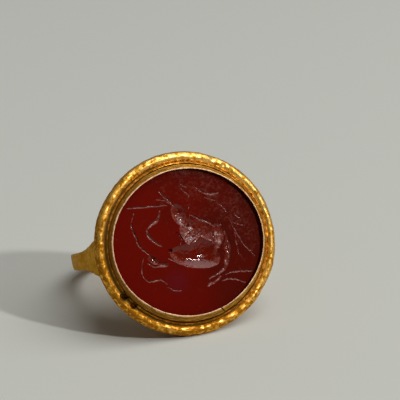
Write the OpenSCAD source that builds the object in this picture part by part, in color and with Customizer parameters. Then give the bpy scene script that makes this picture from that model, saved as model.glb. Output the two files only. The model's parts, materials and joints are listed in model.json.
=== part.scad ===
// Gold finger ring with an engraved carnelian.
// The ring is drawn upright, with the finger hole along Y and the stone's face up, and is then
// laid on its side, where it rests on the edge of the bezel and on the back of the hoop.

/* [Hoop] */
// Diameter of the finger hole
finger_d = 16.4; // [15.8:0.1:17]
// Thickness of the hoop at the back of the finger
hoop_back_t = 1.15; // [1:0.05:1.3]
// Thickness of the hoop at the sides of the finger
hoop_side_t = 1.4; // [1.3:0.05:1.6]
// Width of the hoop at the back of the finger
hoop_back_w = 1.5; // [1.3:0.05:1.8]
// Width of the hoop at the sides of the finger
hoop_side_w = 2.1; // [1.9:0.05:2.3]
// Radius of the hollow curve by which the shoulders widen towards the bezel
shoulder_flare_r = 7.7; // [7:0.1:9]
// Radius of the rounded outside of the hoop, across its width
hoop_crown_r = 6; // [5:0.5:8]

/* [Bezel] */
// Length of the bezel, along the hoop
bezel_l = 22.0; // [21.6:0.1:22.6]
// Width of the bezel, along the finger
bezel_w = 20.8; // [20.4:0.1:21.2]
// Radius of the rounded moulding at the edge
moulding_r = 0.6; // [0.55:0.05:0.65]
// Thickness of gold between the finger hole and the bottom of the stone's seat
back_plate_t = 1.15; // [1:0.05:1.4]

/* [Collar] */
// Thickness of the strip that holds the stone
collar_t = 0.3; // [0.25:0.05:0.3]
// Thickness of the strip's lip, where it is pressed over the stone
lip_t = 0.15; // [0.12:0.01:0.18]
// Width of the seam where the two ends of the strip meet
seam_w = 0.12; // [0.08:0.01:0.2]

/* [Stone] */
// Thickness of the stone
stone_t = 2.5; // [2.3:0.05:2.8]
// How far the stone's face lies below the lip
face_drop = 0.55; // [0.4:0.05:0.6]
// How deeply the figure is cut, as a share of the original
cut_depth = 1.0; // [0.5:0.1:1.2]

/* [Hidden] */
$fn = 96;

GOLD = "goldenrod";
CARNELIAN = "firebrick";

// Clear gap between pieces
gap = 0.05;
// Far enough to pass right through anything
beyond = 40;

// Hoop: an outer disc a little off the centre of the hole, and a second, higher one for the shoulders
bore_r = finger_d / 2;
hoop_r = bore_r + hoop_side_t;
hoop_raise = hoop_side_t - hoop_back_t;
shoulder_r = hoop_r - 0.3;
shoulder_raise = 2.4;
// How far the hoop's rounded outside falls away at its edges, at the back
hoop_edge_drop = hoop_crown_r - sqrt(pow(hoop_crown_r, 2) - pow(hoop_back_w / 2, 2));
// Height at which the hoop stops tapering straight towards its back and starts to flare
flare_z = 0.8;
// Width of the shoulders where they run into the bottom of the bezel
shoulder_w = 11.2;

// Oval of four arcs. Their centres make a 3-4-5 triangle, so that the arcs run into each other
oval_diff = (bezel_l - bezel_w) / 2;
end_c = 2 * oval_diff;
side_c = 1.5 * oval_diff;
end_r = bezel_l / 2 - end_c;
side_r = bezel_w / 2 + side_c;
arc_slope = 0.75;

// Heights in the bezel, above the middle of the moulding
lip_h = 1.05;
groove_h = 0.25;
ledge_h = 0.62;
face_h = lip_h - face_drop;
seat_h = face_h - stone_t - gap;
cup_under_h = seat_h - 0.6;
// Height of the middle of the moulding above the finger hole's axis
bezel_z = bore_r + back_plate_t - seat_h;

// Insets in the bezel, from its outer edge
seat_in = 1.42;
groove_in = 0.92;
groove_w = 0.12;
cup_side_in = 0.65;
collar_in = seat_in + gap;
lip_in = 1.95;
stone_side_in = collar_in + collar_t + gap;
stone_face_in = stone_side_in + 0.22;
stone_bevel = 0.25;

// Laid on its side, the ring touches with the moulding's lowest point and the hoop's lower back edge
touch_back = hoop_r - hoop_raise - hoop_edge_drop;
touch_reach = bezel_z + touch_back;
touch_rise = bezel_w / 2 - moulding_r - hoop_back_w / 2;
rest_tilt = atan2(touch_rise, touch_reach) + asin(moulding_r / norm([touch_reach, touch_rise]));
rest_floor = touch_back * sin(rest_tilt) + hoop_back_w / 2 * cos(rest_tilt);
rest_front = bezel_z * cos(rest_tilt) + (bezel_w / 2 - moulding_r) * sin(rest_tilt) + moulding_r;
rest_back = touch_back * cos(rest_tilt) + hoop_back_w / 2 * sin(rest_tilt);

// Two pits broken into the groove, filled with soil: [across, along the finger]
GROOVE_PITS = [[-8.65, -4.55], [-7.75, -5.75]];
pit_r = 0.42;

// Where the ends of the collar meet, as an angle round the bezel, and how far the seam slants
seam_a = -72;
seam_slant = 28;

// The figure, a stag sinking to its knees, is cut as gem cutters work, with a round drill and a thin wheel.
// Places on the face are measured from its middle, across to the right and up along the finger.

// Hollows made with the drill: [across, up, diameter, depth]
BODY_HOLLOWS = [
    [-1.5, -1.0, 2.6, 0.34],
    [-0.1, -0.8, 3.4, 0.55],
    [1.3, -0.2, 4.4, 0.80],
    [3.0, 0.2, 3.0, 0.55],
    [4.0, 0.2, 1.8, 0.36],
    [0.5, 1.9, 1.8, 0.28],
];
HEAD_HOLLOWS = [
    [-0.7, 3.9, 1.6, 0.28],
    [-0.4, 3.0, 1.2, 0.22],
    [-0.2, 2.4, 0.7, 0.14],
    [-0.3, 3.7, 0.4, 0.36],
];
LEG_HOLLOWS = [
    [4.6, -1.2, 0.9, 0.20],
    [4.4, -2.3, 0.8, 0.18],
    [-4.4, -1.2, 1.0, 0.20],
    [-3.4, -1.9, 0.9, 0.18],
    [-2.3, -3.2, 2.2, 0.12],
    [2.0, -4.9, 0.6, 0.12],
];

// Lines made with the wheel: [from across, from up, to across, to up, width, depth]
ANTLER_LINES = [
    [-6.5, 4.9, -1.6, 4.6, 0.22, 0.13],
    [-2.5, 6.3, -1.0, 4.6, 0.26, 0.13],
    [-3.0, 5.4, -1.3, 4.8, 0.18, 0.09],
    [0.1, 6.7, 1.4, 6.1, 0.20, 0.10],
    [0.1, 6.5, 1.0, 5.3, 0.18, 0.09],
    [1.0, 5.6, 0.8, 3.6, 0.16, 0.07],
];
HEAD_LINES = [
    [1.0, 3.2, -0.2, 2.0, 0.18, 0.12],
    [-1.4, 4.2, -0.5, 2.2, 0.14, 0.08],
    [0.4, 1.9, -0.6, 1.5, 0.20, 0.10],
];
BACK_LINES = [
    [1.1, 3.1, 2.6, 2.0, 0.24, 0.14],
    [2.3, 2.2, 4.5, 1.2, 0.22, 0.13],
    [2.1, 6.0, 3.6, 5.0, 0.30, 0.14],
    [3.2, 5.1, 4.8, 5.0, 0.22, 0.11],
    [1.5, 4.7, 3.5, 4.6, 0.14, 0.06],
    [3.2, 4.7, 4.7, 3.8, 0.16, 0.08],
    [4.4, 4.0, 5.4, 2.6, 0.16, 0.08],
];
FORELEG_LINES = [
    [-5.6, 4.5, -6.3, 2.9, 0.22, 0.10],
    [-6.3, 3.2, -5.9, 1.1, 0.24, 0.12],
    [-6.0, 1.3, -4.8, -0.7, 0.24, 0.12],
    [-2.6, 4.1, -3.3, 2.8, 0.30, 0.09],
    [-3.1, 3.1, -4.7, 2.1, 0.34, 0.11],
    [-4.7, 2.3, -4.1, 0.6, 0.36, 0.12],
    [-4.3, 0.9, -3.0, -0.1, 0.32, 0.11],
    [-5.4, -0.7, -3.9, -1.7, 0.26, 0.12],
    [-5.5, -0.7, -6.0, -2.4, 0.16, 0.08],
    [-6.0, -2.1, -5.4, -3.5, 0.18, 0.09],
    [-5.7, -3.3, -4.2, -3.4, 0.18, 0.09],
    [-4.5, -3.2, -3.2, -4.2, 0.18, 0.09],
    [-3.5, -4.2, -2.4, -4.9, 0.20, 0.10],
    [-2.8, -4.8, -1.5, -5.0, 0.18, 0.09],
];
HIND_LEG_LINES = [
    [4.7, 0.6, 4.9, -1.2, 0.30, 0.16],
    [4.8, -0.8, 4.3, -3.0, 0.50, 0.20],
    [4.5, -2.5, 3.5, -4.1, 0.46, 0.18],
    [3.8, -3.8, 1.7, -4.3, 0.28, 0.14],
    [3.3, -4.4, 1.4, -5.2, 0.40, 0.16],
    [3.6, -4.5, 5.1, -4.1, 0.24, 0.12],
    [4.7, -4.1, 6.9, -4.5, 0.22, 0.11],
    [3.3, -4.9, 4.9, -4.9, 0.22, 0.11],
    [4.6, -4.8, 6.1, -5.6, 0.22, 0.11],
];
TAIL_LINES = [
    [5.4, 1.7, 7.0, 0.8, 0.18, 0.08],
    [6.0, 1.2, 5.9, -0.8, 0.16, 0.07],
    [5.9, -0.5, 5.9, -2.6, 0.16, 0.06],
    [6.0, 0.0, 7.8, -2.9, 0.18, 0.09],
];

// Lays the upright ring on its side, with the lowest points on the ground and the middle of its length over the origin
module at_rest() {
    translate([0, (rest_front - rest_back) / 2, rest_floor])
        rotate([90 - rest_tilt, 0, 0])
            children();
}

// Turns a section, drawn left of the outer edge, about an arc's centre
module arc_turn(r) {
    rotate_extrude()
        intersection() {
            translate([r, 0]) children();
            translate([0, -beyond / 2]) square(beyond);
        }
}

// Turns a section round the whole oval, arc by arc, each kept between the lines where it meets the next
module oval_turn() {
    for (half = [0, 180])
        rotate([0, 0, half]) {
            intersection() {
                translate([end_c, 0, 0]) arc_turn(end_r) children();
                linear_extrude(beyond, center = true)
                    polygon([[end_c, 0], [end_c + beyond, -arc_slope * beyond], [end_c + beyond, arc_slope * beyond]]);
            }
            intersection() {
                translate([0, -side_c, 0]) arc_turn(side_r) children();
                linear_extrude(beyond, center = true)
                    polygon([
                        [-end_c, 0], [end_c, 0],
                        [end_c + beyond, arc_slope * beyond], [-end_c - beyond, arc_slope * beyond],
                    ]);
            }
        }
}

// Solid of revolution along the finger, with the rounded outside of the hoop
module crowned_disc(r, width) {
    rotate([90, 0, 0])
        rotate_extrude()
            intersection() {
                translate([r - hoop_crown_r, 0]) circle(r = hoop_crown_r);
                translate([0, -width / 2]) square([r + 1, width]);
            }
}

// What is cut from one side of the hoop: a straight taper to the back and the hollow curve of the shoulder
module side_cut() {
    rotate([90, 0, 90])
        linear_extrude(beyond, center = true)
            union() {
                translate([hoop_side_w / 2 + shoulder_flare_r, flare_z]) circle(r = shoulder_flare_r);
                polygon([
                    [hoop_back_w / 2, -touch_back],
                    [hoop_side_w / 2, flare_z],
                    [shoulder_flare_r, flare_z],
                    [shoulder_flare_r, -beyond],
                    [hoop_back_w / 2, -beyond],
                ]);
            }
}

module hoop() {
    difference() {
        union() {
            translate([0, 0, hoop_raise]) crowned_disc(hoop_r, shoulder_w);
            translate([0, 0, shoulder_raise]) crowned_disc(shoulder_r, shoulder_w);
        }
        side_cut();
        mirror([0, 1, 0]) side_cut();
    }
}

// The bezel's body, a shallow box with a sloping ledge on top. Its bottom edge is bevelled, to clear the ground
module cup() {
    oval_turn()
        polygon([
            [-beyond, cup_under_h],
            [-seat_in - 0.1, cup_under_h],
            [-cup_side_in - 0.35, seat_h],
            [-cup_side_in, seat_h + 0.75],
            [-cup_side_in, groove_h],
            [-groove_in - groove_w, groove_h],
            [-seat_in, ledge_h],
            [-beyond, ledge_h],
        ]);
}

module moulding() {
    oval_turn()
        translate([-moulding_r, 0]) circle(r = moulding_r);
}

// The stone's seat, with the groove that runs round inside the moulding
module seat() {
    oval_turn()
        polygon([
            [-beyond, seat_h],
            [-seat_in, seat_h],
            [-seat_in, ledge_h],
            [-groove_in - groove_w, groove_h],
            [-groove_in, groove_h + 0.08],
            [-groove_in, lip_h],
            [-beyond, lip_h],
        ]);
}

module groove_pits() {
    for (pit = GROOVE_PITS)
        translate([pit[0], pit[1], groove_h + 0.2]) sphere(r = pit_r);
}

module hoop_and_bezel() {
    color(GOLD)
        difference() {
            union() {
                hoop();
                translate([0, 0, bezel_z]) {
                    cup();
                    moulding();
                }
            }
            translate([0, 0, bezel_z]) {
                seat();
                groove_pits();
            }
            rotate([90, 0, 0]) cylinder(r = bore_r, h = beyond, center = true);
        }
}

// The strip round the stone, leaning in at the top, where its lip is pressed over the stone's edge
module collar() {
    color(GOLD)
        translate([0, 0, bezel_z])
            difference() {
                oval_turn()
                    polygon([
                        [-collar_in, seat_h + gap],
                        [-collar_in, ledge_h + gap],
                        [-lip_in + lip_t, lip_h],
                        [-lip_in, lip_h],
                        [-lip_in, face_h - 0.05],
                        [-collar_in - collar_t, face_h - stone_bevel + 0.05],
                        [-collar_in - collar_t, seat_h + gap],
                    ]);
                rotate([0, 0, seam_a])
                    translate([bezel_w / 2 - lip_in + lip_t, 0, 0])
                        rotate([0, 0, seam_slant])
                            cube([4 * collar_t + 1, seam_w, beyond / 2], center = true);
            }
}

// The hollow left by a round drill
module drill_hollow(hollow) {
    d = hollow[2];
    depth = hollow[3] * cut_depth;
    r = (pow(d / 2, 2) + pow(depth, 2)) / (2 * depth);
    translate([hollow[0], hollow[1], r - depth])
        rotate_extrude()
            intersection() {
                circle(r = r);
                translate([0, -r]) square([r, depth * 1.5]);
            }
}

// The boat-shaped cut left by the edge of a thin wheel
module wheel_line(line) {
    across = line[2] - line[0];
    up = line[3] - line[1];
    width = line[4];
    depth = line[5] * cut_depth;
    r = (pow(norm([across, up]) / 2, 2) + pow(depth, 2)) / (2 * depth);
    reach_a = acos((r - 1.4 * depth) / r);
    translate([(line[0] + line[2]) / 2, (line[1] + line[3]) / 2, r - depth])
        rotate([90, 0, atan2(up, across)])
            rotate([0, 0, -90 - reach_a])
                rotate_extrude(angle = 2 * reach_a)
                    polygon([[r - 2 * depth, -width], [r, 0], [r - 2 * depth, width]]);
}

module engraved(hollows, lines) {
    for (hollow = hollows) drill_hollow(hollow);
    for (line = lines) wheel_line(line);
}

module stone() {
    color(CARNELIAN)
        translate([0, 0, bezel_z + face_h])
            difference() {
                oval_turn()
                    polygon([
                        [-beyond, -stone_t],
                        [-stone_side_in - 0.1, -stone_t],
                        [-stone_side_in, -stone_bevel - 0.3],
                        [-stone_side_in, -stone_bevel],
                        [-stone_face_in, 0],
                        [-beyond, 0],
                    ]);
                engraved(BODY_HOLLOWS, BACK_LINES);
                engraved(HEAD_HOLLOWS, HEAD_LINES);
                engraved(LEG_HOLLOWS, HIND_LEG_LINES);
                engraved([], ANTLER_LINES);
                engraved([], FORELEG_LINES);
                engraved([], TAIL_LINES);
            }
}

at_rest() hoop_and_bezel();
at_rest() collar();
at_rest() stone();
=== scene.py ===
"""A worn gold finger ring with an engraved carnelian, lying on its side on a pale floor."""
import json
import math
import random

import bpy
from mathutils import Matrix, Vector

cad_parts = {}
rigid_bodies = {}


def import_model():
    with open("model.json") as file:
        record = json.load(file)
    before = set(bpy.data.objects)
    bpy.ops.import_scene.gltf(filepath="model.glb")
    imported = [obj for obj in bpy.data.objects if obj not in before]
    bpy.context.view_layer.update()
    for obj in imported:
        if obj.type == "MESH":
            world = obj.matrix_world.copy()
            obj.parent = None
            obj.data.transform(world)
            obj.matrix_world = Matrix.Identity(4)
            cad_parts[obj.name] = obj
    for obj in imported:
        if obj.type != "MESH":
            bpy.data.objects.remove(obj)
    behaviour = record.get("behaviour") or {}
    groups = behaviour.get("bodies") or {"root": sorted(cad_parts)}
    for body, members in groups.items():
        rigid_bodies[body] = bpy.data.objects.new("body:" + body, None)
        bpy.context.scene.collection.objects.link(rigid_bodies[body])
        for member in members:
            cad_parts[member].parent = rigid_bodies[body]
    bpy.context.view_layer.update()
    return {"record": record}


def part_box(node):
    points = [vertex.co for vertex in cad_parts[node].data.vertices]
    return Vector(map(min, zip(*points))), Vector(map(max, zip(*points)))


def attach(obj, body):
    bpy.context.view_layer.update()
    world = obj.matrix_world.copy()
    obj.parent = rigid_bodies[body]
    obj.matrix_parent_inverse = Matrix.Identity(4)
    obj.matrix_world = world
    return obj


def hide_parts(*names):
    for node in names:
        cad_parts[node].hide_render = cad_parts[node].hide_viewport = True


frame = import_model()

# The ring is drawn upright and in millimetres, with the finger hole along Y, the stone's face up and the
# hole's middle at the origin. lay_down() then takes each finished piece to its place on the floor, in metres.
MM = 0.001
hole = frame["record"]["mounts"][0]
LAY_TURN = math.pi / 2 - math.atan2(hole["axis"][1], hole["axis"][2])
gold_low, gold_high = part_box("hoop_and_bezel")

# Hoop: two crowned wheels, a narrow one and a broad one for the shoulders, with their middles raised a little
# above the hole's, and filed to a flare on both sides
BORE_R = hole["dims"]["r_mm"]
HOOP_R = BORE_R + 1.4
HOOP_RAISE = 0.25
SHOULDER_R = HOOP_R - 0.3
SHOULDER_RAISE = 2.4
SHOULDER_W = 11.2
CROWN_R = 6.0
BACK_W = 1.5
SIDE_W = 2.1
FLARE_Z = 0.8
FLARE_R = 7.7
HOOP_TOP_Z = 9.05

# Bezel: an oval of four arcs, whose centres make a 3-4-5 triangle. Names in _H are heights above BEZEL_Z, and
# names in _IN are insets from the outer edge
BEZEL_L = (gold_high.x - gold_low.x) / MM
BEZEL_W = BEZEL_L - 1.2
OVAL_DIFF = (BEZEL_L - BEZEL_W) / 2
END_C = 2 * OVAL_DIFF
SIDE_C = 1.5 * OVAL_DIFF
END_R = BEZEL_L / 2 - END_C
JOIN_A = math.atan(SIDE_C / END_C)
MOULDING_R = 0.6
BEZEL_Z = 11.4
UNDER_H = -2.65
SEAT_H = -2.05
SEAT_IN = 1.42
PLATE_IN = 8.5
GROOVE_IN = 1.06
GROOVE_MIDDLE_IN = 1.16
FACE_H = 0.5
FACE_Z = BEZEL_Z + FACE_H
STONE_T = 2.5
GAP = 0.05

# Length of one step when a section is turned round the oval
STEP = 0.117
# Points nearer to each other than this are joined
TOUCH = 0.001


def select_only(*pieces):
    """Selects these pieces alone and makes the first one active."""
    bpy.ops.object.select_all(action="DESELECT")
    for piece in pieces:
        piece.select_set(True)
    bpy.context.view_layer.objects.active = pieces[0]


def select_points(piece, test):
    """Leaves only the points of a mesh selected whose place passes the test, and enters edit mode."""
    select_only(piece)
    for parts in (piece.data.edges, piece.data.polygons):
        parts.foreach_set("select", [False] * len(parts))
    piece.data.vertices.foreach_set("select", [test(point.co) for point in piece.data.vertices])
    bpy.ops.object.mode_set(mode="EDIT")


def draw_line(name, points):
    """Draws a line of edges from point to point, starting from one vertex."""
    bpy.ops.object.select_all(action="DESELECT")
    bpy.ops.mesh.primitive_plane_add(size=1)
    piece = bpy.context.object
    piece.name = name
    bpy.ops.object.mode_set(mode="EDIT")
    bpy.ops.mesh.merge(type="CENTER")
    bpy.ops.transform.translate(value=points[0])
    for start, end in zip(points, points[1:]):
        bpy.ops.mesh.extrude_region_move(TRANSFORM_OT_translate={"value": Vector(end) - Vector(start)})
    return piece


def tidy_mesh(piece):
    """Joins points that lie on each other and turns every face outwards."""
    select_points(piece, lambda place: True)
    bpy.ops.mesh.remove_doubles(threshold=TOUCH)
    bpy.ops.mesh.normals_make_consistent(inside=False)
    bpy.ops.object.mode_set(mode="OBJECT")


def modify(piece, kind, **settings):
    """Adds a modifier, sets it and applies it."""
    select_only(piece)
    bpy.ops.object.modifier_add(type=kind)
    modifier = piece.modifiers[-1]
    for name, value in settings.items():
        setattr(modifier, name, value)
    bpy.ops.object.modifier_apply(modifier=modifier.name)


def combine(piece, tool, operation):
    """Joins another solid to a piece, or cuts it away, and removes the other solid."""
    modify(piece, "BOOLEAN", object=tool, operation=operation, solver="EXACT")
    bpy.data.objects.remove(tool)


def drop_fins(piece):
    """Takes off the hair-thin fins that cutting can leave on a mesh. Their edges have one face only."""
    select_points(piece, lambda place: True)
    bpy.ops.mesh.remove_doubles(threshold=TOUCH / 5)
    bpy.ops.mesh.select_mode(type="FACE")
    bpy.ops.mesh.select_face_by_sides(number=4, type="GREATER", extend=False)
    bpy.ops.mesh.quads_convert_to_tris(quad_method="BEAUTY", ngon_method="BEAUTY")
    bpy.ops.mesh.select_mode(type="EDGE")
    bpy.ops.mesh.select_all(action="DESELECT")
    bpy.ops.mesh.select_non_manifold(
        extend=False, use_multi_face=False, use_non_contiguous=False, use_verts=False,
    )
    bpy.ops.mesh.delete(type="EDGE")
    bpy.ops.mesh.select_mode(type="VERT")
    bpy.ops.mesh.select_all(action="SELECT")
    bpy.ops.mesh.delete_loose()
    bpy.ops.object.mode_set(mode="OBJECT")


def lay_down(piece, body="root"):
    """Takes a finished piece from the upright drawing to its place on the floor, and fastens it to a body."""
    drop_fins(piece)
    select_only(piece)
    piece.scale = (MM, MM, MM)
    piece.rotation_euler = (LAY_TURN, 0, 0)
    piece.location = hole["pos_m"]
    bpy.ops.object.transform_apply(location=True, rotation=True, scale=True)
    bpy.ops.object.shade_smooth_by_angle(angle=math.radians(40), keep_sharp_edges=True)
    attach(piece, body)


def arc_points(centre, radius, start, end, count):
    """Points along an arc in a plane, with angles in degrees."""
    angles = [math.radians(start + (end - start) * i / count) for i in range(count + 1)]
    return [(centre[0] + radius * math.cos(a), centre[1] + radius * math.sin(a)) for a in angles]


def spin_oval(name, section):
    """Turns a section round the oval. The section's points are insets from the outer edge and heights."""
    start = -JOIN_A
    points = [
        (END_C + (END_R - inset) * math.cos(start), (END_R - inset) * math.sin(start), BEZEL_Z + height)
        for inset, height in section
    ]
    piece = draw_line(name, points)
    bpy.ops.mesh.select_all(action="SELECT")
    arcs = [(END_C, 0, 2 * JOIN_A), (0, -SIDE_C, math.pi - 2 * JOIN_A)]
    arcs += [(-x, -y, angle) for x, y, angle in arcs]
    for x, y, angle in arcs:
        reach = END_R if x else END_R + math.hypot(END_C, SIDE_C)
        bpy.ops.mesh.spin(steps=round(reach * angle / STEP), angle=-angle, center=(x, y, 0), axis=(0, 0, 1))
    bpy.ops.object.mode_set(mode="OBJECT")
    return piece


def close_loops(piece):
    """Closes the open rims in the middle of a turned piece with flat faces."""
    select_points(piece, lambda place: True)
    bpy.ops.mesh.remove_doubles(threshold=TOUCH)
    bpy.ops.mesh.select_all(action="DESELECT")
    bpy.ops.mesh.select_non_manifold(extend=False)
    bpy.ops.mesh.edge_face_add()
    bpy.ops.mesh.select_all(action="DESELECT")
    bpy.ops.mesh.select_non_manifold(extend=False)
    bpy.ops.mesh.fill_holes(sides=0)
    bpy.ops.object.mode_set(mode="OBJECT")


def texture(name, kind, size, **settings):
    """A procedural texture for surface relief. Its size is in millimetres."""
    made = bpy.data.textures.new(name, kind)
    made.noise_scale = size
    for key, value in settings.items():
        setattr(made, key, value)
    return made


def point_group(piece, name, test):
    """Names the points of a piece whose place passes the test, so that a modifier can be kept to them."""
    piece.vertex_groups.new(name=name)
    select_points(piece, test)
    bpy.ops.object.vertex_group_assign()
    bpy.ops.object.mode_set(mode="OBJECT")
    return name


def oval_inset(place):
    """How far inside the bezel's outer edge a place lies, seen from above the stone."""
    x, y = abs(place.x), abs(place.y)
    if y * END_C < (x - END_C) * SIDE_C:
        return END_R - math.hypot(x - END_C, y)
    return BEZEL_W / 2 + SIDE_C - math.hypot(x, y + SIDE_C)


def wheel(name, radius, width, raise_z):
    """A solid wheel across the finger hole, with a crowned rim."""
    spread = math.degrees(math.asin(width / 2 / CROWN_R))
    rim = arc_points((radius - CROWN_R, 0), CROWN_R, -spread, spread, 32)
    piece = draw_line(name, [(r, y, raise_z) for r, y in rim])
    bpy.ops.mesh.select_all(action="SELECT")
    bpy.ops.mesh.spin(steps=144, angle=2 * math.pi, center=(0, 0, raise_z), axis=(0, 1, 0))
    bpy.ops.object.mode_set(mode="OBJECT")
    close_loops(piece)
    tidy_mesh(piece)
    return piece


def side_cutter(side):
    """What is filed from one side of the hoop: a taper to the back, then the hollow of the shoulder."""
    reach = 2 * HOOP_R
    hollow = arc_points((SIDE_W / 2 + FLARE_R, FLARE_Z), FLARE_R, 180, 90, 48)
    outline = [
        (BACK_W / 2, -HOOP_R), *hollow, (reach, FLARE_Z + FLARE_R), (reach, -reach), (BACK_W / 2, -reach),
    ]
    piece = draw_line("side cutter", [(-reach, side * y, z) for y, z in outline])
    bpy.ops.mesh.select_all(action="SELECT")
    bpy.ops.mesh.edge_face_add()
    bpy.ops.mesh.extrude_region_move(TRANSFORM_OT_translate={"value": (2 * reach, 0, 0)})
    bpy.ops.object.mode_set(mode="OBJECT")
    tidy_mesh(piece)
    return piece


def make_hoop():
    """The hoop and its shoulders, hollowed for the finger, with the soft edges of worn gold."""
    hoop = wheel("shoulders", SHOULDER_R, SHOULDER_W, SHOULDER_RAISE)
    combine(hoop, wheel("hoop", HOOP_R, 2 * SIDE_W, HOOP_RAISE), "UNION")
    for side in (-1, 1):
        combine(hoop, side_cutter(side), "DIFFERENCE")
    bpy.ops.object.select_all(action="DESELECT")
    bpy.ops.mesh.primitive_cylinder_add(
        vertices=180, radius=BORE_R, depth=4 * HOOP_R, rotation=(math.pi / 2, 0, 0),
    )
    combine(hoop, bpy.context.object, "DIFFERENCE")
    select_points(hoop, lambda place: True)
    bpy.ops.mesh.bisect(plane_co=(0, 0, HOOP_TOP_Z), plane_no=(0, 0, 1), clear_outer=True, use_fill=True)
    bpy.ops.object.mode_set(mode="OBJECT")
    modify(hoop, "REMESH", mode="VOXEL", voxel_size=0.15, adaptivity=0)
    modify(hoop, "SMOOTH", factor=0.5, iterations=4)
    uneven = texture("hand filing", "CLOUDS", 2.6)
    modify(hoop, "DISPLACE", texture=uneven, texture_coords="LOCAL", strength=0.09, mid_level=0.55)
    return hoop


# Dents in the moulding: angle round the bezel in degrees, inset from its edge, size and depth
DENTS = [
    (61, 0.45, 1.0, 0.11),
    (53, 0.7, 0.4, 0.14),
    (47, 0.75, 0.35, 0.1),
    (75, 0.25, 1.3, 0.07),
    (118, 0.4, 1.2, 0.06),
    (147, 0.6, 0.8, 0.07),
    (171, 0.35, 1.1, 0.06),
    (204, 0.5, 1.2, 0.07),
    (243, 0.4, 0.8, 0.08),
    (287, 0.5, 1.0, 0.07),
    (322, 0.3, 1.3, 0.07),
    (12, 0.4, 1.1, 0.06),
]

# Places where the groove was broken open and has filled with soil: across, up, size and depth below BEZEL_Z.
# Their middles lie PIT_H above it
GROOVE_PITS = [
    (-8.65, -4.55, 0.55, 0.35),
    (-7.75, -5.75, 0.44, 0.3),
]
PIT_H = 0.35


def on_moulding(angle, inset):
    """Place on the upper side of the moulding."""
    a = math.radians(angle)
    edge = BEZEL_L / 2 - OVAL_DIFF * math.sin(a) ** 2
    height = math.sqrt(max(0, MOULDING_R ** 2 - (inset - MOULDING_R) ** 2))
    return Vector(((edge - inset) * math.cos(a), (edge - inset) * math.sin(a), BEZEL_Z + height))


def press(piece, place, size, depth, towards):
    """Presses a soft dent into a piece at its nearest point."""
    nearest = min(piece.data.vertices, key=lambda point: (point.co - place).length).co.copy()
    select_points(piece, lambda co: co == nearest)
    bpy.ops.transform.translate(
        value=towards * depth, use_proportional_edit=True,
        proportional_edit_falloff="SMOOTH", proportional_size=size,
    )
    bpy.ops.object.mode_set(mode="OBJECT")


def make_bezel():
    """The shallow box under the stone, with its hammered moulding and the seat that the stone lies in."""
    underside = [(PLATE_IN, UNDER_H), (5.5, UNDER_H), (3.0, UNDER_H), (SEAT_IN + 0.1, UNDER_H)]
    wall = [(1.25, -2.36), (1.0, SEAT_H), (0.82, -1.7), (0.65, SEAT_H + 0.75), (0.65, -1.0)]
    moulding = arc_points((MOULDING_R, 0), MOULDING_R, 266, 42, 25)
    groove = [(GROOVE_IN, 0.34), (1.09, 0.29), (1.14, 0.27), (1.2, 0.34), (1.28, 0.47)]
    ledge = [(1.35, 0.56), (1.4, 0.6), (SEAT_IN, 0.5)]
    seat = [(SEAT_IN, -0.4), (SEAT_IN, -1.2), (SEAT_IN, SEAT_H), (3.0, SEAT_H), (PLATE_IN, SEAT_H)]
    bezel = spin_oval("bezel", underside + wall + moulding + groove + ledge + seat)
    close_loops(bezel)
    tidy_mesh(bezel)
    outside = point_group(
        bezel, "outside",
        lambda place: oval_inset(place) < SEAT_IN - 0.03 and place.z > BEZEL_Z + SEAT_H + 0.3,
    )
    # Unevenness: its pattern, its strength and the level of the pattern that stays in place
    relief = [
        (texture("out of round", "CLOUDS", 2.2), 0.12, 0.6),
        (texture("hammer marks", "VORONOI", 0.9), 0.03, 0.45),
        (texture("hammer facets", "CLOUDS", 0.6), 0.05, 0.5),
        (texture("pitting", "CLOUDS", 0.3, noise_type="HARD_NOISE"), 0.013, 0.5),
    ]
    for pattern, strength, middle in relief:
        modify(
            bezel, "DISPLACE", texture=pattern, texture_coords="LOCAL", strength=strength, mid_level=middle,
            vertex_group=outside,
        )
    for angle, inset, size, depth in DENTS:
        place = on_moulding(angle, inset)
        middle = on_moulding(angle, MOULDING_R) - Vector((0, 0, MOULDING_R))
        press(bezel, place, size, depth, (middle - place).normalized())
    return bezel


def make_gold():
    """The bezel and the hoop as one piece of gold, with the broken places of the groove."""
    gold = make_bezel()
    gold.name = "gold_body"
    combine(gold, make_hoop(), "UNION")
    for across, up, size, depth in GROOVE_PITS:
        bpy.ops.object.select_all(action="DESELECT")
        middle = (across, up, BEZEL_Z + PIT_H)
        bpy.ops.mesh.primitive_ico_sphere_add(subdivisions=4, radius=1, location=middle)
        drill = bpy.context.object
        drill.scale = (size, size * 0.8, depth + PIT_H)
        combine(gold, drill, "DIFFERENCE")
    mark_hollows(gold)
    return gold


def mark_hollows(piece):
    """Darkens the points that lie in hollows, so that the material can put soil there."""
    select_only(piece)
    bpy.ops.object.mode_set(mode="VERTEX_PAINT")
    bpy.ops.paint.vertex_color_dirt(blur_strength=0.4, blur_iterations=1)
    bpy.ops.object.mode_set(mode="OBJECT")
    piece.data.color_attributes[0].name = "hollows"


# Where the strip's two ends meet: angle round the bezel in degrees, how far the seam slants, and its width
SEAM_A = -72
SEAM_SLANT = 28
SEAM_W = 0.12


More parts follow.
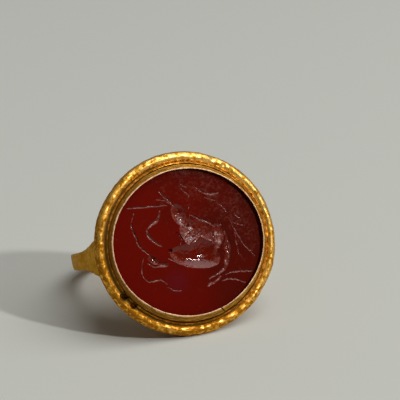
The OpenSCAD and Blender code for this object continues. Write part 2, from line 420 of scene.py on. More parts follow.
def make_collar():
    """The thin strip round the stone, leaning in at the top, with an uneven lip and a slanting seam."""
    section = [
        (1.47, SEAT_H + GAP), (1.47, -1.2), (1.47, -0.4), (1.47, 0.2), (1.47, 0.52), (1.49, 0.66),
        (1.57, 0.76), (1.66, 0.87), (1.74, 0.96), (1.80, 1.02), (1.84, 1.05), (1.88, 1.06), (1.93, 1.04),
        (1.95, 0.98), (1.95, 0.8), (1.95, 0.62), (1.95, 0.46), (1.86, 0.38), (1.77, 0.3), (1.77, -0.4),
        (1.77, -1.2), (1.77, SEAT_H + GAP), (1.47, SEAT_H + GAP),
    ]
    collar = spin_oval("collar_strip", section)
    tidy_mesh(collar)
    lip = point_group(collar, "lip", lambda place: place.z > BEZEL_Z + 0.5)
    wavy = texture("pressed by hand", "CLOUDS", 1.1)
    rubbed = texture("rubbed edge", "CLOUDS", 0.35)
    for pattern, strength in ((wavy, 0.09), (rubbed, 0.05)):
        modify(
            collar, "DISPLACE", texture=pattern, texture_coords="LOCAL", strength=strength, mid_level=0.55,
            vertex_group=lip,
        )
    # The lip leans in more on the oval's long sides: from each height up it is made a little narrower
    for height, narrower in ((0.5, 0.992), (0.7, 0.989), (0.9, 0.992)):
        select_points(collar, lambda place: place.z > BEZEL_Z + height)
        bpy.ops.transform.resize(value=(1.002, narrower, 1), center_override=(0, 0, 0))
        bpy.ops.transform.translate(value=(0, 0.03, 0))
        bpy.ops.object.mode_set(mode="OBJECT")
    a = math.radians(SEAM_A)
    reach = BEZEL_W / 2 - 1.8
    bpy.ops.object.select_all(action="DESELECT")
    bpy.ops.mesh.primitive_cube_add(
        size=1, location=(reach * math.cos(a), reach * math.sin(a), BEZEL_Z),
        rotation=(0, 0, a + math.radians(SEAM_SLANT)),
    )
    saw = bpy.context.object
    saw.scale = (2.4, SEAM_W, 8)
    combine(collar, saw, "DIFFERENCE")
    return collar


# The figure, a stag sinking to its knees, cut as gem cutters work, with round drills and thin wheels.
# Hollows: across, up, length, width, turn in degrees, depth, and the drill's lean in degrees
HOLLOWS = [
    (1.6, 0.5, 5.6, 3.4, -36, 0.16, 0),
    (0.2, -1.2, 6.0, 2.5, -16, 0.34, 11),
    (1.5, -0.9, 3.8, 3.0, 8, 0.40, 11),
    (3.8, 0.4, 2.4, 1.4, 95, 0.15, 0),
    (0.6, 1.9, 2.2, 1.2, 130, 0.16, 0),
    (-0.5, 3.3, 2.6, 1.7, 108, 0.20, 0),
    (-0.2, 2.2, 1.1, 0.5, 115, 0.12, 0),
    (-0.4, 3.6, 0.42, 0.36, 0, 0.30, 0),
    (4.6, -1.3, 1.7, 0.8, 95, 0.24, 0),
    (4.3, -2.5, 1.6, 0.6, 70, 0.20, 0),
    (-4.5, -1.2, 1.5, 0.8, -40, 0.22, 0),
    (-3.4, -1.9, 1.3, 0.6, -10, 0.18, 0),
    (2.0, -4.9, 1.0, 0.4, 10, 0.14, 0),
    (-2.3, -0.5, 0.6, 0.45, 10, 0.3, 0),
    (1.2, -2.0, 0.9, 0.5, 10, 0.45, 0),
    (-4.4, -1.1, 0.35, 0.3, 0, 0.24, 0),
    (0.4, 1.9, 0.4, 0.3, 0, 0.30, 0),
]

# Cut lines: width, depth, then the points that the wheel passed, each across and up
CUT_LINES = [
    (0.31, 0.13, (-6.5, 5.0), (-4.2, 4.8), (-1.7, 4.6)),
    (0.34, 0.13, (-2.4, 6.2), (-1.8, 5.5), (-1.2, 4.8), (-0.8, 4.2)),
    (0.26, 0.10, (-2.8, 5.4), (-2.1, 5.2), (-1.3, 4.8)),
    (0.29, 0.10, (0.2, 6.8), (0.6, 6.5), (1.1, 6.2)),
    (0.26, 0.10, (0.3, 6.2), (0.7, 5.7), (1.1, 5.3)),
    (0.39, 0.15, (2.1, 6.0), (2.9, 5.3), (3.8, 5.0), (4.8, 5.0)),
    (0.23, 0.08, (3.0, 4.7), (4.1, 4.2), (4.9, 3.4), (5.4, 2.6)),
    (0.21, 0.07, (0.8, 3.6), (0.9, 4.4), (1.2, 5.5)),
    (0.26, 0.12, (-0.2, 2.0), (0.4, 2.4), (0.9, 3.1)),
    (0.34, 0.14, (0.9, 3.1), (1.9, 2.4), (2.7, 2.0), (3.3, 1.5)),
    (0.31, 0.12, (3.0, 1.6), (3.8, 1.3), (4.5, 1.4)),
    (0.26, 0.11, (-5.7, 4.4), (-6.1, 3.7), (-6.3, 2.8), (-6.1, 1.8), (-5.8, 0.6), (-5.1, -0.3), (-4.4, -1.1)),
    (0.39, 0.11, (-2.6, 4.2), (-3.2, 3.1), (-4.5, 2.3), (-4.6, 1.7), (-4.0, 0.8), (-3.0, 0.0)),
    (0.26, 0.10, (-5.5, -0.6), (-6.0, -1.9), (-5.9, -3.0), (-5.1, -3.5), (-4.1, -3.5), (-3.3, -4.1)),
    (0.26, 0.10, (-3.4, -4.4), (-2.7, -4.9), (-1.8, -5.1)),
    (0.29, 0.11, (-5.2, -1.4), (-4.5, -1.9), (-3.2, -2.1)),
    (0.53, 0.20, (4.7, 0.6), (4.9, -0.8), (4.6, -2.2), (3.9, -3.5), (3.0, -4.1)),
    (0.36, 0.14, (3.6, -3.7), (2.7, -4.1), (1.7, -4.4)),
    (0.48, 0.16, (3.3, -4.3), (2.5, -4.8), (1.4, -5.2)),
    (0.29, 0.11, (3.8, -4.3), (5.1, -4.2), (6.2, -4.3), (7.2, -4.5)),
    (0.26, 0.10, (3.2, -4.9), (4.4, -4.9), (5.3, -5.2), (6.1, -5.6)),
    (0.23, 0.08, (5.5, 1.9), (6.0, 0.4), (6.8, -1.4), (7.9, -2.9)),
    (0.21, 0.08, (5.7, 1.5), (6.4, 1.1), (7.1, 0.8)),
    (0.21, 0.06, (5.9, 0.6), (5.9, -0.9), (5.9, -2.6)),
    (0.23, 0.07, (5.9, 2.7), (6.4, 2.1), (7.0, 1.4)),
    (0.26, 0.10, (-2.7, -1.3), (-1.3, -2.2), (0.1, -2.75), (1.5, -2.65), (2.8, -2.2)),
    (0.29, 0.24, (0.7, 0.4), (1.5, 0.8), (2.5, 1.2)),
    (0.29, 0.24, (2.6, 1.2), (3.2, 0.5), (3.1, -0.6)),
    (0.26, 0.22, (-1.2, 1.4), (-0.6, 0.6), (-1.0, -0.2)),
]


def cut_hollow(across, up, length, width, turn, depth, lean):
    """What a drill cuts when it is moved to and fro: steep at its edge and nearly flat at the bottom."""
    half = length / 2
    lean = math.radians(lean)
    bowl = 1.35 * depth
    radius = (half * half + bowl * bowl) / (2 * bowl)
    bpy.ops.object.select_all(action="DESELECT")
    bpy.ops.mesh.primitive_uv_sphere_add(segments=16 + round(8 * length), ring_count=48, radius=radius)
    drill = bpy.context.object
    bpy.ops.object.mode_set(mode="EDIT")
    bpy.ops.transform.resize(value=(1, width / length, 1))
    top = bowl + 0.5 * depth + half * math.sin(lean) - radius
    bpy.ops.mesh.bisect(plane_co=(0, 0, top), plane_no=(0, 0, 1), clear_outer=True, use_fill=True)
    bpy.ops.object.mode_set(mode="OBJECT")

    # The ball reaches deeper than the hollow, so what lies below the hollow's depth is pressed nearly flat
    bottom = bowl - depth - radius
    select_points(drill, lambda place: place.z < bottom)
    bpy.ops.transform.resize(value=(1, 1, 0.12), center_override=(0, 0, bottom))
    bpy.ops.object.mode_set(mode="OBJECT")
    modify(
        drill, "DISPLACE", texture=bpy.data.textures["drill marks"], texture_coords="LOCAL",
        strength=min(0.04, 0.25 * depth), mid_level=0.5,
    )
    drill.rotation_mode = "ZYX"
    drill.rotation_euler = (lean, 0, math.radians(turn))
    drill.location = (
        across, up - (radius - bowl) * math.sin(lean), FACE_Z + (radius - bowl) * math.cos(lean),
    )
    return drill


def cut_line(width, depth, *points):
    """What a thin wheel cuts: an uneven line that fades out at both ends."""
    radius = (width * width / 4 + depth * depth) / (2 * depth)
    bpy.ops.object.select_all(action="DESELECT")
    bpy.ops.curve.primitive_bezier_curve_add()
    line = bpy.context.object
    bpy.ops.object.mode_set(mode="EDIT")
    bpy.ops.curve.select_all(action="SELECT")
    bpy.ops.curve.delete(type="VERT")
    for number, (across, up) in enumerate(points):
        bpy.ops.curve.vertex_add(location=(across, up, FACE_Z + radius - depth))
        at_end = number in (0, len(points) - 1)
        bpy.ops.curve.radius_set(radius=radius * (0.62 if at_end else random.uniform(0.7, 1.25)))
    bpy.ops.curve.select_all(action="SELECT")
    bpy.ops.curve.handle_type_set(type="AUTOMATIC")
    bpy.ops.curve.subdivide(number_cuts=3)
    bpy.ops.transform.vertex_random(offset=0.07, seed=len(bpy.data.objects))
    bpy.ops.object.mode_set(mode="OBJECT")
    line.data.bevel_depth = 1
    line.data.bevel_resolution = 3
    line.data.resolution_u = 4
    line.data.use_fill_caps = True
    select_only(line)
    bpy.ops.object.convert(target="MESH")
    tidy_mesh(bpy.context.object)
    return bpy.context.object


def make_stone():
    """The flat polished stone with the figure cut into its face."""
    section = [
        (1.92, FACE_H - STONE_T), (1.84, FACE_H - STONE_T + 0.08), (1.82, FACE_H - 0.6),
        (1.82, FACE_H - 0.27), (1.85, FACE_H - 0.21), (2.0, FACE_H - 0.04), (2.08, FACE_H),
    ]
    stone = spin_oval("engraved_stone", section)
    close_loops(stone)
    tidy_mesh(stone)
    texture("drill marks", "CLOUDS", 0.38)
    random.seed(7)
    tools = [cut_hollow(*row) for row in HOLLOWS] + [cut_line(*row) for row in CUT_LINES]
    workshop = bpy.data.collections.new("cutting tools")
    for tool in tools:
        for home in tool.users_collection:
            home.objects.unlink(tool)
        workshop.objects.link(tool)
    modify(
        stone, "BOOLEAN", operand_type="COLLECTION", collection=workshop, operation="DIFFERENCE",
        solver="EXACT",
    )
    for tool in tools:
        bpy.data.objects.remove(tool)
    bpy.data.collections.remove(workshop)
    sharpen_cuts(stone)
    return stone


def sharpen_cuts(stone):
    """Keeps the edge sharp where the polished face ends and a cut begins."""
    select_points(stone, lambda place: False)
    bpy.ops.object.mode_set(mode="OBJECT")
    stone.data.polygons.foreach_set("select", [face.normal.z > 0.9999 for face in stone.data.polygons])
    bpy.ops.object.mode_set(mode="EDIT")
    bpy.ops.mesh.select_mode(type="FACE")
    bpy.ops.mesh.region_to_loop()
    bpy.ops.mesh.mark_sharp()
    bpy.ops.mesh.select_mode(type="VERT")
    bpy.ops.object.mode_set(mode="OBJECT")


def linear(hex_colour):
    """An sRGB hex colour as linear red, green, blue and alpha."""
    channels = [int(hex_colour[i:i + 2], 16) / 255 for i in (1, 3, 5)]
    return [c / 12.92 if c <= 0.04045 else ((c + 0.055) / 1.055) ** 2.4 for c in channels] + [1]


def new_material(name, *pieces):
    """A new material, put on each of the pieces in place of what they had."""
    material = bpy.data.materials.new(name)
    material.use_nodes = True
    for piece in pieces:
        piece.data.materials.clear()
        piece.data.materials.append(material)
    return material


def add_node(material, kind, inputs=(), **settings):
    """Adds a node with its settings. Each input is a socket with a value, or with an output to link to it."""
    node = material.node_tree.nodes.new("ShaderNode" + kind)
    for name, value in settings.items():
        setattr(node, name, value)
    for socket, value in dict(inputs).items():
        if isinstance(value, bpy.types.NodeSocket):
            material.node_tree.links.new(value, node.inputs[socket])
        else:
            node.inputs[socket].default_value = value
    return node


def upright_place(material):
    """The place on a laid-down piece, in millimetres of the upright drawing. A noise scale of 1.3 on it makes
    patches about 0.8 mm across."""
    coordinates = add_node(material, "TexCoord").outputs["Object"]
    laid = {"Location": hole["pos_m"], "Rotation": (LAY_TURN, 0, 0), "Scale": (MM, MM, MM)}
    return add_node(material, "Mapping", {"Vector": coordinates, **laid}, vector_type="TEXTURE").outputs[0]


# How many times longer than wide the streaks along the rim are
STREAK_STRETCH = 3.4


def rim_place(material, upright):
    """How far in from the bezel's edge a place lies, and a place for streaks that run along the rim."""
    level = add_node(
        material, "VectorMath", {0: upright, 1: (2 / BEZEL_L, 2 / BEZEL_W, 0)}, operation="MULTIPLY",
    ).outputs[0]
    reach = add_node(material, "VectorMath", {0: level}, operation="LENGTH").outputs["Value"]
    inset = add_node(
        material, "Math", {0: reach, 1: -BEZEL_W / 2, 2: BEZEL_W / 2}, operation="MULTIPLY_ADD",
    ).outputs[0]
    outwards = add_node(material, "VectorMath", {0: level}, operation="NORMALIZE").outputs[0]
    far = add_node(
        material, "Math", {0: inset, 1: -STREAK_STRETCH, 2: BEZEL_W / 2}, operation="MULTIPLY_ADD",
    ).outputs[0]
    round_place = add_node(
        material, "VectorMath", {0: outwards, "Scale": far}, operation="SCALE",
    ).outputs[0]
    tall_place = add_node(
        material, "VectorMath", {0: upright, 1: (0, 0, STREAK_STRETCH)}, operation="MULTIPLY",
    ).outputs[0]
    streak_place = add_node(
        material, "VectorMath", {0: round_place, 1: tall_place}, operation="ADD",
    ).outputs[0]
    return inset, streak_place


def colour_gold(*pieces):
    """Old gold of about 20 carats, hammered and worn: warm, softly mirror-like, with soil in its hollows and
    a painted highlight.
    """
    material = new_material("worn hammered gold with painted highlight", *pieces)
    shader = material.node_tree.nodes["Principled BSDF"]
    link = material.node_tree.links.new
    upright = upright_place(material)
    inset, streak_place = rim_place(material, upright)
    height = add_node(material, "SeparateXYZ", {0: upright}).outputs[2]

    # Colour: patches of deeper and paler gold, drawn out along the rim, with a painted highlight: paler
    # towards the upper right and deeper towards the lower left
    streaks = add_node(
        material, "TexNoise", {"Vector": streak_place, "Scale": 1.3, "Detail": 5, "Roughness": 0.6},
    ).outputs[0]
    patches = add_node(
        material, "TexNoise", {"Vector": upright, "Scale": 2.4, "Detail": 4, "Distortion": 0.4},
    ).outputs[0]
    mottle_and_highlight = add_node(material, "Math", {0: streaks, 1: patches}, operation="ADD").outputs[0]
    # This slope across the bezel is painted highlight and shade: it makes the gold paler towards the upper
    # right and deeper towards the lower left
    rubbed = add_node(
        material, "VectorMath", {0: upright, 1: (0.007, 0.009, 0)}, operation="DOT_PRODUCT",
    ).outputs["Value"]
    mottle_and_highlight = add_node(material, "Math", {0: mottle_and_highlight, 1: rubbed}, operation="ADD").outputs[0]
    deep = add_node(
        material, "MapRange", {"Value": mottle_and_highlight, "From Min": 1.04, "From Max": 0.86},
        interpolation_type="SMOOTHSTEP",
    ).outputs[0]
    pale = add_node(
        material, "MapRange", {"Value": mottle_and_highlight, "From Min": 0.98, "From Max": 1.2},
        interpolation_type="SMOOTHSTEP",
    ).outputs[0]
    gold_tone = add_node(
        material, "Mix", {0: deep, 6: linear("#DEA236"), 7: linear("#AC721A")}, data_type="RGBA",
    ).outputs[2]
    gold_tone = add_node(
        material, "Mix", {0: pale, 6: gold_tone, 7: linear("#F4C670")}, data_type="RGBA",
    ).outputs[2]

    # The hoop and the underside are more even than the moulding
    plain = add_node(
        material, "MapRange", {"Value": height, "From Min": BEZEL_Z - 0.9, "From Max": BEZEL_Z - 1.6},
    ).outputs[0]
    tone = add_node(
        material, "Mix", {0: plain, 6: gold_tone, 7: linear("#D39C28")}, data_type="RGBA",
    ).outputs[2]

    # Soil: packed in the groove and thin in every other hollow. The groove's fill is darker towards its lower
    # left, partly soil and partly painted shade on the side away from the light
    upper = add_node(
        material, "MapRange", {"Value": height, "From Min": BEZEL_Z - 0.2, "From Max": BEZEL_Z},
    ).outputs[0]
    off_groove = add_node(material, "Math", {0: inset, 1: GROOVE_MIDDLE_IN}, operation="SUBTRACT").outputs[0]
    off_groove = add_node(material, "Math", {0: off_groove}, operation="ABSOLUTE").outputs[0]
    packed = add_node(
        material, "MapRange", {"Value": off_groove, "From Min": 0.32, "From Max": 0.03},
    ).outputs[0]
    packed = add_node(material, "Math", {0: packed, 1: upper}, operation="MULTIPLY").outputs[0]
    # Painted shade as well as soil: the groove's fill grows towards the lower left
    low_left = add_node(
        material, "VectorMath", {0: upright, 1: (-0.9, -0.35, 0)}, operation="DOT_PRODUCT",
    ).outputs["Value"]
    low_left = add_node(
        material, "MapRange",
        {"Value": low_left, "From Min": -3, "From Max": 8, "To Min": 0.2, "To Max": 0.9},
    ).outputs[0]
    packed = add_node(material, "Math", {0: packed, 1: low_left}, operation="MULTIPLY").outputs[0]
    hollows = add_node(material, "VertexColor", layer_name="hollows").outputs[0]
    hollows = add_node(
        material, "MapRange", {"Value": hollows, "From Min": 0.31, "From Max": 0.18, "To Max": 0.45},
    ).outputs[0]
    crumbs = add_node(
        material, "TexNoise", {"Vector": upright, "Scale": 2.6, "Detail": 5, "Roughness": 0.7},
    ).outputs[0]
    for across, up, size, _ in GROOVE_PITS:
        away = add_node(
            material, "VectorMath", {0: upright, 1: (across, up, BEZEL_Z + PIT_H)}, operation="DISTANCE",
        ).outputs["Value"]
        filled = add_node(
            material, "MapRange", {"Value": away, "From Min": 1.3 * size, "From Max": 0.9 * size},
        ).outputs[0]
        packed = add_node(material, "Math", {0: packed, 1: filled}, operation="ADD").outputs[0]
    amount = add_node(material, "Math", {0: packed, 1: hollows}, operation="ADD").outputs[0]
    amount = add_node(material, "Math", {0: amount, 1: crumbs}, operation="ADD").outputs[0]
    soil = add_node(
        material, "MapRange", {"Value": amount, "From Min": 1.0, "From Max": 1.35},
        interpolation_type="SMOOTHSTEP",
    ).outputs[0]
    soil_tone = add_node(
        material, "Mix", {0: crumbs, 6: linear("#2C1A06"), 7: linear("#96701E")}, data_type="RGBA",
    ).outputs[2]
    tone = add_node(material, "Mix", {0: soil, 6: tone, 7: soil_tone}, data_type="RGBA").outputs[2]
    link(tone, shader.inputs["Base Color"])
    metal = add_node(material, "MapRange", {"Value": soil, "To Min": 1, "To Max": 0.5}).outputs[0]
    link(metal, shader.inputs["Metallic"])

    # Surface: burnished where the gold is pale, dull elsewhere, with fine scratches and pits
    rough = add_node(
        material, "MapRange",
        {"Value": mottle_and_highlight, "From Min": 0.8, "From Max": 1.2, "To Min": 0.78, "To Max": 0.36},
    ).outputs[0]
    rough = add_node(material, "Mix", {0: soil, 2: rough, 3: 0.85}, data_type="FLOAT").outputs[0]
    link(rough, shader.inputs["Roughness"])
    fine = add_node(
        material, "TexNoise", {"Vector": upright, "Scale": 7, "Detail": 4, "Roughness": 0.6},
    ).outputs[0]
    relief = add_node(material, "Math", {0: fine, 1: streaks}, operation="ADD").outputs[0]
    bump = add_node(material, "Bump", {"Height": relief, "Strength": 0.12, "Distance": 0.06 * MM}).outputs[0]
    link(bump, shader.inputs["Normal"])


def colour_collar(*pieces):
    """The same gold in a thin strip: golden brown on its slope, painted dark red inside as shade and as a
    reflection of the stone, and rubbed pale along the lip, where the paleness is partly a painted highlight."""
    material = new_material("thin rubbed gold with painted shade and highlight", *pieces)
    shader = material.node_tree.nodes["Principled BSDF"]
    link = material.node_tree.links.new
    upright = upright_place(material)
    _, streak_place = rim_place(material, upright)
    height = add_node(material, "SeparateXYZ", {0: upright}).outputs[2]
    streaks = add_node(
        material, "TexNoise", {"Vector": streak_place, "Scale": 1.8, "Detail": 5, "Roughness": 0.65},
    ).outputs[0]
    crumbs = add_node(
        material, "TexNoise", {"Vector": upright, "Scale": 4.2, "Detail": 4, "Roughness": 0.65},
    ).outputs[0]
    rubbed = add_node(
        material, "VectorMath", {0: upright, 1: (0.012, 0.001, 0)}, operation="DOT_PRODUCT",
    ).outputs["Value"]
    rubbed = add_node(material, "Math", {0: streaks, 1: rubbed}, operation="ADD").outputs[0]
    film = add_node(
        material, "MapRange", {"Value": rubbed, "From Min": 0.44, "From Max": 0.68},
    ).outputs[0]
    slope = add_node(
        material, "Mix", {0: film, 6: linear("#8E5E10"), 7: linear("#D6A032")}, data_type="RGBA",
    ).outputs[2]
    # The pale lip is rubbed gold and, in part, a painted highlight of the light on its top
    uneven = add_node(
        material, "Math", {0: crumbs, 1: 0.3, 2: height}, operation="MULTIPLY_ADD",
    ).outputs[0]
    lip = add_node(
        material, "MapRange", {"Value": uneven, "From Min": BEZEL_Z + 1.12, "From Max": BEZEL_Z + 1.19},
        interpolation_type="SMOOTHSTEP",
    ).outputs[0]

    # The inner wall is where the surface faces the stone. It is painted dark red there as painted shade and a
    # painted reflection of the stone
    normal = add_node(material, "TexCoord").outputs["Normal"]
    normal = add_node(
        material, "Mapping", {"Vector": normal, "Rotation": (-LAY_TURN, 0, 0)}, vector_type="VECTOR",
    ).outputs[0]
    outwards = add_node(material, "VectorMath", {0: upright, 1: (1, 1, 0)}, operation="MULTIPLY").outputs[0]
    facing = add_node(
        material, "VectorMath", {0: normal, 1: outwards}, operation="DOT_PRODUCT",
    ).outputs["Value"]
    inner_wall_shade = add_node(material, "MapRange", {"Value": facing, "From Min": -2, "From Max": -5}).outputs[0]
    slope = add_node(
        material, "Mix", {0: inner_wall_shade, 6: slope, 7: linear("#5A1206")}, data_type="RGBA",
    ).outputs[2]
    tone = add_node(material, "Mix", {0: lip, 6: slope, 7: linear("#EABE92")}, data_type="RGBA").outputs[2]
    link(tone, shader.inputs["Base Color"])
    bare = add_node(material, "MapRange", {"Value": inner_wall_shade, "To Min": 0.7, "To Max": 0.9}).outputs[0]
    metal = add_node(material, "Mix", {0: lip, 2: bare, 3: 0.45}, data_type="FLOAT").outputs[0]
    link(metal, shader.inputs["Metallic"])
    rough = add_node(material, "MapRange", {"Value": film, "To Min": 0.6, "To Max": 0.35}).outputs[0]
    rough = add_node(material, "Math", {0: rough, 1: inner_wall_shade}, operation="MAXIMUM").outputs[0]
    link(rough, shader.inputs["Roughness"])
    relief = add_node(material, "Math", {0: crumbs, 1: streaks}, operation="ADD").outputs[0]
    bump = add_node(material, "Bump", {"Height": relief, "Strength": 0.5, "Distance": 0.06 * MM}).outputs[0]
    link(bump, shader.inputs["Normal"])


def colour_stone(*pieces):
    """Carnelian, a dark red quartz, cut flat and polished: glassy, and frosted where it was engraved, with
    painted sheen at its upper right and painted highlight on cut walls that face up.
    """
    material = new_material("polished carnelian with painted sheen and highlight", *pieces)
    shader = material.node_tree.nodes["Principled BSDF"]
    link = material.node_tree.links.new
    upright = upright_place(material)
    across, up, height = add_node(material, "SeparateXYZ", {0: upright}).outputs
    grain = add_node(
        material, "TexNoise", {"Vector": upright, "Scale": 3.2, "Detail": 6, "Roughness": 0.7},
    ).outputs[0]
    clouds = add_node(material, "TexNoise", {"Vector": upright, "Scale": 0.22, "Detail": 2}).outputs[0]
    patches = add_node(
        material, "TexNoise",
        {"Vector": upright, "Scale": 0.9, "Detail": 5, "Roughness": 0.7, "Distortion": 1.2},
    ).outputs[0]

    # Polished face: deep red, and browner towards its right side
    zone = add_node(
        material, "Math", {0: across, 1: 0.05, 2: clouds}, operation="MULTIPLY_ADD",
    ).outputs[0]
    zone = add_node(
        material, "MapRange", {"Value": zone, "From Min": 0.2, "From Max": 0.9},
        interpolation_type="SMOOTHSTEP",
    ).outputs[0]
    face_tone = add_node(
        material, "Mix", {0: zone, 6: linear("#640C03"), 7: linear("#4C0E06")}, data_type="RGBA",
    ).outputs[2]

    # A faint purple bloom inside the stone, under the figure
    aside = add_node(
        material, "VectorMath", {0: upright, 1: (-2.1, -4.0, FACE_Z)}, operation="DISTANCE",
    ).outputs["Value"]
    aside = add_node(material, "Math", {0: patches, 1: 1.6, 2: aside}, operation="MULTIPLY_ADD").outputs[0]
    bloom = add_node(
        material, "MapRange", {"Value": aside, "From Min": 2.9, "From Max": 1.0, "To Max": 0.4},
        interpolation_type="SMOOTHSTEP",
    ).outputs[0]
    face_tone = add_node(
        material, "Mix", {0: bloom, 6: face_tone, 7: linear("#5A1622")}, data_type="RGBA",
    ).outputs[2]

    # Wear and painted sheen: towards the upper right the polish has gone dull in patches and small specks,
    # and the stone is painted paler there as a sheen
    sheen_corner = add_node(material, "Math", {0: across, 1: up}, operation="ADD").outputs[0]
    sheen_corner = add_node(
        material, "MapRange", {"Value": sheen_corner, "From Min": 1, "From Max": 9, "To Max": 0.2},
    ).outputs[0]
    worn = add_node(material, "Math", {0: patches, 1: grain}, operation="ADD").outputs[0]
    worn = add_node(material, "Math", {0: worn, 1: sheen_corner}, operation="ADD").outputs[0]
    worn = add_node(
        material, "MapRange", {"Value": worn, "From Min": 1.1, "From Max": 1.42, "To Max": 0.55},
        interpolation_type="SMOOTHSTEP",
    ).outputs[0]
    face_tone = add_node(
        material, "Mix", {0: worn, 6: face_tone, 7: linear("#6A3022")}, data_type="RGBA",
    ).outputs[2]
    face_rough = add_node(material, "MapRange", {"Value": worn, "To Min": 0.08, "To Max": 0.22}).outputs[0]

    # Engraved cuts: frosted where shallow, smooth at the bottom of the deep ones, with dust on what faces up.
    # The frost and dust are kept to walls that face up, towards the light, so they are partly a painted
    # highlight
    cut = add_node(
        material, "MapRange", {"Value": height, "From Min": FACE_Z - 0.006, "From Max": FACE_Z - 0.03},
    ).outputs[0]
    shallow = add_node(
        material, "MapRange",
        {"Value": height, "From Min": FACE_Z - 0.32, "From Max": FACE_Z - 0.12, "To Max": 0.3},
    ).outputs[0]
    normal = add_node(material, "TexCoord").outputs["Normal"]
    lying = add_node(material, "SeparateXYZ", {0: normal}).outputs[2]
    dust_and_highlight = add_node(
        material, "MapRange", {"Value": lying, "From Min": 0.74, "From Max": 0.93, "To Max": 0.6},
    ).outputs[0]
    painted_lit_walls = add_node(material, "MapRange", {"Value": lying, "From Min": 0.15, "From Max": 0.42}).outputs[0]
    frost_and_highlight = add_node(material, "Math", {0: shallow, 1: painted_lit_walls}, operation="MULTIPLY").outputs[0]
    frost_and_highlight = add_node(material, "Math", {0: frost_and_highlight, 1: dust_and_highlight}, operation="MAXIMUM").outputs[0]
    frost_and_highlight = add_node(material, "Math", {0: frost_and_highlight, 1: grain}, operation="ADD").outputs[0]
    frost_and_highlight = add_node(
        material, "MapRange", {"Value": frost_and_highlight, "From Min": 0.52, "From Max": 1.15},
        interpolation_type="SMOOTHSTEP",
    ).outputs[0]
    cut_tone = add_node(
        material, "Mix", {0: frost_and_highlight, 6: linear("#621203"), 7: linear("#844638")}, data_type="RGBA",
    ).outputs[2]
    tone = add_node(material, "Mix", {0: cut, 6: face_tone, 7: cut_tone}, data_type="RGBA").outputs[2]
    link(tone, shader.inputs["Base Color"])
    cut_rough = add_node(material, "MapRange", {"Value": frost_and_highlight, "To Min": 0.08, "To Max": 0.6}).outputs[0]
    rough = add_node(material, "Mix", {0: cut, 2: face_rough, 3: cut_rough}, data_type="FLOAT").outputs[0]
    link(rough, shader.inputs["Roughness"])
    coarse = add_node(material, "MapRange", {"Value": frost_and_highlight, "To Min": 0.2, "To Max": 0.5}).outputs[0]
    depth = add_node(material, "Mix", {0: cut, 2: 0.015, 3: coarse}, data_type="FLOAT").outputs[0]
    chips = add_node(
        material, "TexNoise", {"Vector": upright, "Scale": 2.3, "Detail": 1, "Distortion": 0.6},
    ).outputs[0]
    relief = add_node(material, "Math", {0: grain, 1: 0.3, 2: chips}, operation="MULTIPLY_ADD").outputs[0]
    bump = add_node(
        material, "Bump", {"Height": relief, "Strength": depth, "Distance": 0.2 * MM},
    ).outputs[0]
    link(bump, shader.inputs["Normal"])
    shader.inputs["IOR"].default_value = 1.54
    shader.inputs["Specular IOR Level"].default_value = 0.32


def set_stage():
    """A plain pale floor, which carries on past the picture's edges."""
    bpy.ops.object.select_all(action="DESELECT")
    bpy.ops.mesh.primitive_plane_add(size=6)
    floor = bpy.context.object
    floor.name = "floor"
    material = new_material("pale floor", floor)
    shader = material.node_tree.nodes["Principled BSDF"]
    shader.inputs["Base Color"].default_value = linear("#CDCEC6")
    shader.inputs["Roughness"].default_value = 0.9


def direction(azimuth, elevation):
    """A direction away from the ring. Azimuth 0 is in front of the stone, and 90 degrees is to its right."""
    a, e = math.radians(azimuth), math.radians(elevation)
    return Vector((math.sin(a) * math.cos(e), -math.cos(a) * math.cos(e), math.sin(e)))


def add_light(name, azimuth, elevation, distance, size, power):
    """A square soft light that looks at the ring, with its distance and size in metres."""
    away = direction(azimuth, elevation)
    bpy.ops.object.light_add(type="AREA", location=away * distance)
    light = bpy.context.object
    light.name = name
    light.rotation_euler = away.to_track_quat("Z", "Y").to_euler()
    light.data.size = size
    light.data.energy = power


# The dark side of the room, which the stone's face mirrors to the camera
MIRRORED_SIDE = (0.386, -0.828, 0.407)


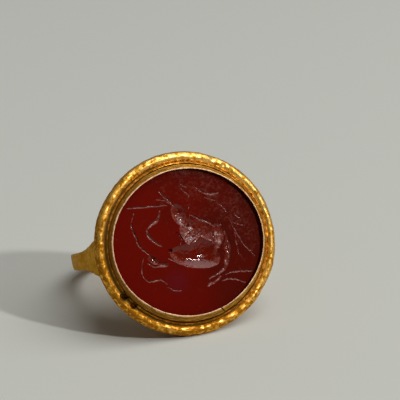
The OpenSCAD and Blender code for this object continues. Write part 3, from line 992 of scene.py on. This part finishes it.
def set_lights():
    """A small light in front on the right, a large soft one above, and a room that is dark in front."""
    scene = bpy.context.scene
    scene.view_settings.view_transform = "Standard"
    world = bpy.data.worlds.new("soft daylight")
    scene.world = world
    world.use_nodes = True
    tree = world.node_tree
    outwards = tree.nodes.new("ShaderNodeTexCoord").outputs["Generated"]
    facing = tree.nodes.new("ShaderNodeVectorMath")
    facing.operation = "DOT_PRODUCT"
    facing.inputs[1].default_value = MIRRORED_SIDE
    shade = tree.nodes.new("ShaderNodeMapRange")
    shade.inputs["From Min"].default_value = 0.92
    shade.inputs["From Max"].default_value = 0.1
    shade.inputs["To Min"].default_value = 0.02
    shade.inputs["To Max"].default_value = 0.15
    background = tree.nodes["Background"]
    background.inputs["Color"].default_value = linear("#F2F2EE")
    tree.links.new(outwards, facing.inputs[0])
    tree.links.new(facing.outputs["Value"], shade.inputs["Value"])
    tree.links.new(shade.outputs[0], background.inputs["Strength"])
    add_light("key", azimuth=34, elevation=36, distance=0.8, size=0.04, power=2.6)
    add_light("sky", azimuth=62, elevation=66, distance=1.6, size=1.44, power=16.4)


# The camera stands where the photograph was taken from. Angles are in degrees and lengths in millimetres. The
# aim is how far right and up of the bezel's middle the picture's middle lies, as the camera sees it
CAMERA_AZIMUTH = -25
CAMERA_ELEVATION = 22.5
CAMERA_DISTANCE = 180
AIM_RIGHT = 1.53
AIM_UP = 4.85
SENSOR_W = 36
PIXELS_PER_MM = 8.87
PICTURE_W = 400


def set_camera():
    """The camera that the main picture is taken with."""
    away = direction(CAMERA_AZIMUTH, CAMERA_ELEVATION)
    turn = away.to_track_quat("Z", "Y")
    right, up = turn @ Vector((1, 0, 0)), turn @ Vector((0, 1, 0))
    upright = Matrix.Rotation(LAY_TURN, 3, "X")
    bezel = Vector(hole["pos_m"]) + upright @ Vector((0, 0, BEZEL_Z)) * MM
    aim = bezel + (right * AIM_RIGHT + up * AIM_UP) * MM
    bpy.ops.object.camera_add(location=aim + away * CAMERA_DISTANCE * MM)
    camera = bpy.context.object
    camera.rotation_euler = turn.to_euler()
    camera.data.sensor_width = SENSOR_W
    camera.data.lens = SENSOR_W * CAMERA_DISTANCE * PIXELS_PER_MM / PICTURE_W
    camera.data.clip_start = 0.01
    camera.data.clip_end = 20
    bpy.context.scene.camera = camera


set_camera()
set_lights()
set_stage()

gold = make_gold()
collar = make_collar()
stone = make_stone()
lay_down(gold)
lay_down(collar)
lay_down(stone)
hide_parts("hoop_and_bezel")
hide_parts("collar")
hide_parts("stone")
colour_gold(gold)
colour_collar(collar)
colour_stone(stone)
